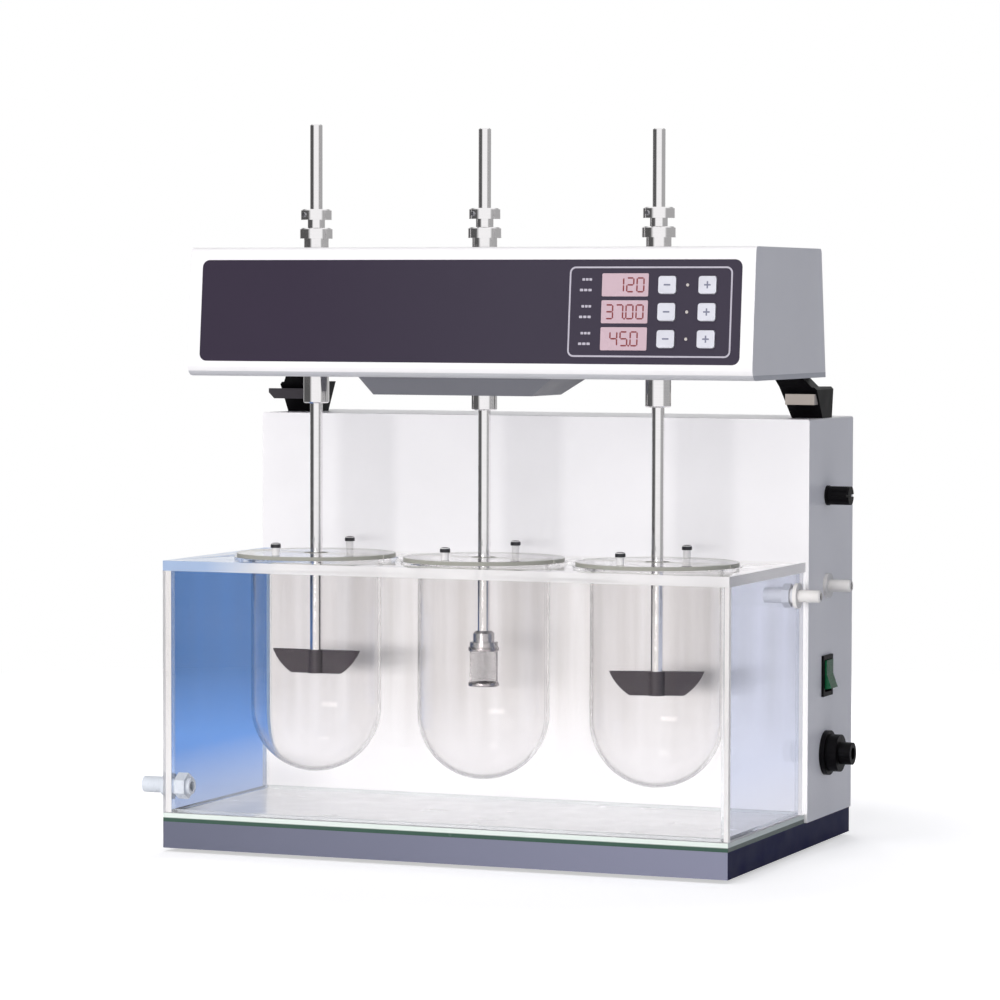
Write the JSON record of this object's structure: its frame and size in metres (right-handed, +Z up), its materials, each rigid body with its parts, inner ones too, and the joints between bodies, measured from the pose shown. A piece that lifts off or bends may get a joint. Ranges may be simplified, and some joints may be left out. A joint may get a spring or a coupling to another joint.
{
  "type": "dissolution tester",
  "caption": "Bench dissolution tester with clear water bath, hanging round-bottom vessels with split lids, a belt-driven stirrer head with paddles and a basket, and a rear cabinet",
  "frame": {"origin": "on the floor under the middle of the base", "axes": "+Z up, front faces -Y, +X to the right seen from the front"},
  "size_m": [0.524, 0.31, 0.5795],
  "materials": {
    "base_paint": "blue-grey paint",
    "foot_rubber": "matt",
    "bath_clear": "clear acrylic sheet",
    "bath_blue": "clear sheet with a blue tint",
    "white_paint": "white powder coat",
    "black_paint": "black",
    "light_metal": "machined",
    "black_plastic": "black",
    "white_plastic": "white",
    "drain_plastic": "pale",
    "dark_metal": "dark grey",
    "steel": "stainless",
    "polished_steel": "polished stainless",
    "sole_metal": "light grey",
    "fascia_film": "dark printed film",
    "display_pane": "pale pink window",
    "board": "green board",
    "lamp_lens": "lens",
    "pan_paint": "dark grey",
    "belt_rubber": "matt",
    "paddle_coat": "dark grey coating",
    "vessel_glass": "clear glass",
    "lid_clear": "clear plastic",
    "key_plastic": "white",
    "green_plastic": "green"
  },
  "bodies": {
    "frame": {"base_tray": "base_paint", "rubber_feet": "foot_rubber", "tank_floor": "bath_clear", "tank_front_wall": "bath_clear", "tank_end_walls": "bath_blue", "tank_rear_wall": "bath_clear", "vessel_plate": "bath_clear", "cabinet_shell": "white_paint", "cabinet_rear_cover": "white_paint", "bracket_blocks": "black_paint", "bracket_arms": "black_paint", "hinge_bars": "light_metal", "fuse_holder": "black_plastic", "switch_frame": "black_plastic", "mains_inlet": "black_plastic", "hose_barbs": "white_plastic", "drain_fitting": "drain_plastic", "circulation_pump": "dark_metal", "water_heater": "steel", "head_housing": "white_paint", "head_bottom_plate": "sole_metal", "fascia_panel": "fascia_film", "display_windows": "display_pane", "control_board": "board", "indicator_lamps": "lamp_lens", "drive_pan": "pan_paint", "drive_motor": "dark_metal", "drive_belts": "belt_rubber", "spindle_bearings": "steel"},
    "spindle_1": {"spindle_1": "polished_steel"},
    "stirrer_1": {"rod_1": "polished_steel", "clutch_ring_1": "polished_steel", "paddle_1": "paddle_coat"},
    "vessel_1": {"vessel_1": "vessel_glass"},
    "lid_1_front": {"lid_1_front": "lid_clear"},
    "lid_1_rear": {"lid_1_rear": "lid_clear"},
    "spindle_2": {"spindle_2": "polished_steel"},
    "stirrer_2": {"rod_2": "polished_steel", "clutch_ring_2": "polished_steel", "basket_hub": "steel", "basket_screen": "steel"},
    "vessel_2": {"vessel_2": "vessel_glass"},
    "lid_2_front": {"lid_2_front": "lid_clear"},
    "lid_2_rear": {"lid_2_rear": "lid_clear"},
    "spindle_3": {"spindle_3": "polished_steel"},
    "stirrer_3": {"rod_3": "polished_steel", "clutch_ring_3": "polished_steel", "paddle_3": "paddle_coat"},
    "vessel_3": {"vessel_3": "vessel_glass"},
    "lid_3_front": {"lid_3_front": "lid_clear"},
    "lid_3_rear": {"lid_3_rear": "lid_clear"},
    "motor_pulley": {"motor_pulley": "light_metal"},
    "key_1": {"key_1": "key_plastic"},
    "key_2": {"key_2": "key_plastic"},
    "key_3": {"key_3": "key_plastic"},
    "key_4": {"key_4": "key_plastic"},
    "key_5": {"key_5": "key_plastic"},
    "key_6": {"key_6": "key_plastic"},
    "fuse_cap": {"fuse_cap": "black_plastic"},
    "switch_rocker": {"switch_rocker": "green_plastic"}
  },
  "joints": [
    {"name": "spindle_1_turn", "type": "hinge", "parent": "frame", "child": "spindle_1", "pos_m": [-0.146, -0.061, 0.378], "axis": [0, 0, 1], "continuous": true},
    {"name": "stirrer_1_lift", "type": "slide", "parent": "spindle_1", "child": "stirrer_1", "axis": [0, 0, 1], "range_m": [0, 0.072]},
    {"name": "vessel_1_lift", "type": "slide", "parent": "frame", "child": "vessel_1", "axis": [0, 0, 1], "range_m": [0, 0.045]},
    {"name": "lid_1_front_lift", "type": "slide", "parent": "vessel_1", "child": "lid_1_front", "axis": [0, 0, 1], "range_m": [0, 0.05]},
    {"name": "lid_1_rear_lift", "type": "slide", "parent": "vessel_1", "child": "lid_1_rear", "axis": [0, 0, 1], "range_m": [0, 0.05]},
    {"name": "spindle_2_turn", "type": "hinge", "parent": "frame", "child": "spindle_2", "pos_m": [0, -0.061, 0.378], "axis": [0, 0, 1], "continuous": true},
    {"name": "stirrer_2_lift", "type": "slide", "parent": "spindle_2", "child": "stirrer_2", "axis": [0, 0, 1], "range_m": [0, 0.052]},
    {"name": "vessel_2_lift", "type": "slide", "parent": "frame", "child": "vessel_2", "axis": [0, 0, 1], "range_m": [0, 0.045]},
    {"name": "lid_2_front_lift", "type": "slide", "parent": "vessel_2", "child": "lid_2_front", "axis": [0, 0, 1], "range_m": [0, 0.05]},
    {"name": "lid_2_rear_lift", "type": "slide", "parent": "vessel_2", "child": "lid_2_rear", "axis": [0, 0, 1], "range_m": [0, 0.05]},
    {"name": "spindle_3_turn", "type": "hinge", "parent": "frame", "child": "spindle_3", "pos_m": [0.146, -0.061, 0.378], "axis": [0, 0, 1], "continuous": true},
    {"name": "stirrer_3_lift", "type": "slide", "parent": "spindle_3", "child": "stirrer_3", "axis": [0, 0, 1], "range_m": [0, 0.072]},
    {"name": "vessel_3_lift", "type": "slide", "parent": "frame", "child": "vessel_3", "axis": [0, 0, 1], "range_m": [0, 0.045]},
    {"name": "lid_3_front_lift", "type": "slide", "parent": "vessel_3", "child": "lid_3_front", "axis": [0, 0, 1], "range_m": [0, 0.05]},
    {"name": "lid_3_rear_lift", "type": "slide", "parent": "vessel_3", "child": "lid_3_rear", "axis": [0, 0, 1], "range_m": [0, 0.05]},
    {"name": "motor_turn", "type": "hinge", "parent": "frame", "child": "motor_pulley", "pos_m": [-0.062, 0.011, 0.442], "axis": [0, 0, 1], "continuous": true},
    {"name": "key_1_press", "type": "slide", "parent": "frame", "child": "key_1", "axis": [0, 0.9959, -0.0904], "range_m": [0, 0.0008], "stiffness_N_per_m": 400, "springref_m": -0.0004},
    {"name": "key_2_press", "type": "slide", "parent": "frame", "child": "key_2", "axis": [0, 0.9959, -0.0904], "range_m": [0, 0.0008], "stiffness_N_per_m": 400, "springref_m": -0.0004},
    {"name": "key_3_press", "type": "slide", "parent": "frame", "child": "key_3", "axis": [0, 0.9959, -0.0904], "range_m": [0, 0.0008], "stiffness_N_per_m": 400, "springref_m": -0.0004},
    {"name": "key_4_press", "type": "slide", "parent": "frame", "child": "key_4", "axis": [0, 0.9959, -0.0904], "range_m": [0, 0.0008], "stiffness_N_per_m": 400, "springref_m": -0.0004},
    {"name": "key_5_press", "type": "slide", "parent": "frame", "child": "key_5", "axis": [0, 0.9959, -0.0904], "range_m": [0, 0.0008], "stiffness_N_per_m": 400, "springref_m": -0.0004},
    {"name": "key_6_press", "type": "slide", "parent": "frame", "child": "key_6", "axis": [0, 0.9959, -0.0904], "range_m": [0, 0.0008], "stiffness_N_per_m": 400, "springref_m": -0.0004},
    {"name": "fuse_cap_turn", "type": "hinge", "parent": "frame", "child": "fuse_cap", "pos_m": [0.239, 0.083, 0.283], "axis": [1, 0, 0], "range_deg": [0, 60]},
    {"name": "switch_rock", "type": "hinge", "parent": "frame", "child": "switch_rocker", "pos_m": [0.236, 0.083, 0.138], "axis": [0, 1, 0], "range_deg": [0, 20]}
  ],
  "couplings": [
    {"joint": "spindle_2_turn", "follows": "spindle_1_turn", "ratio": 1},
    {"joint": "spindle_3_turn", "follows": "spindle_1_turn", "ratio": 1},
    {"joint": "motor_turn", "follows": "spindle_1_turn", "ratio": 1}
  ]
}
